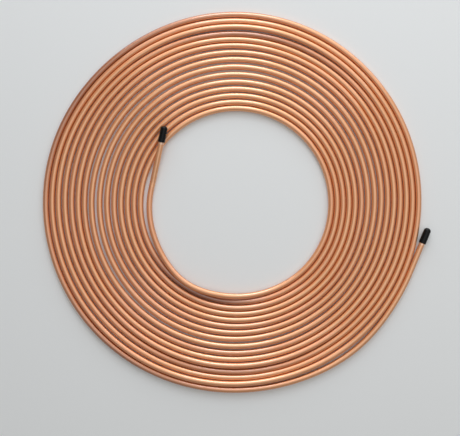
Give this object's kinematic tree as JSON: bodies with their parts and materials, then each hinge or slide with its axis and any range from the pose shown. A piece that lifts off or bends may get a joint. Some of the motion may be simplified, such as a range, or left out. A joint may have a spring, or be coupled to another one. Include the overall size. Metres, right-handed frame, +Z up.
{
  "type": "copper tube coil",
  "caption": "Flat coil of soft copper tube, a single layer of turns lying around an open centre, with a push-on cap closing each end.",
  "frame": {"origin": "middle of the coil's outer circle, on the plane that the coil rests on", "axes": "+Z up, along the axis of the coil and square to the floor; +X towards the side where the outer end lies; +Y up the picture as seen from above"},
  "size_m": [0.4278, 0.4211, 0.0177],
  "materials": {
    "copper": "soft-drawn copper, bright satin, with faint lengthwise drawing lines",
    "cap_vinyl": "black soft vinyl, dip moulded, low sheen"
  },
  "bodies": {
    "root": {"copper_tube": "copper", "outer_end_cap": "cap_vinyl", "inner_end_cap": "cap_vinyl"}
  },
  "joints": []
}
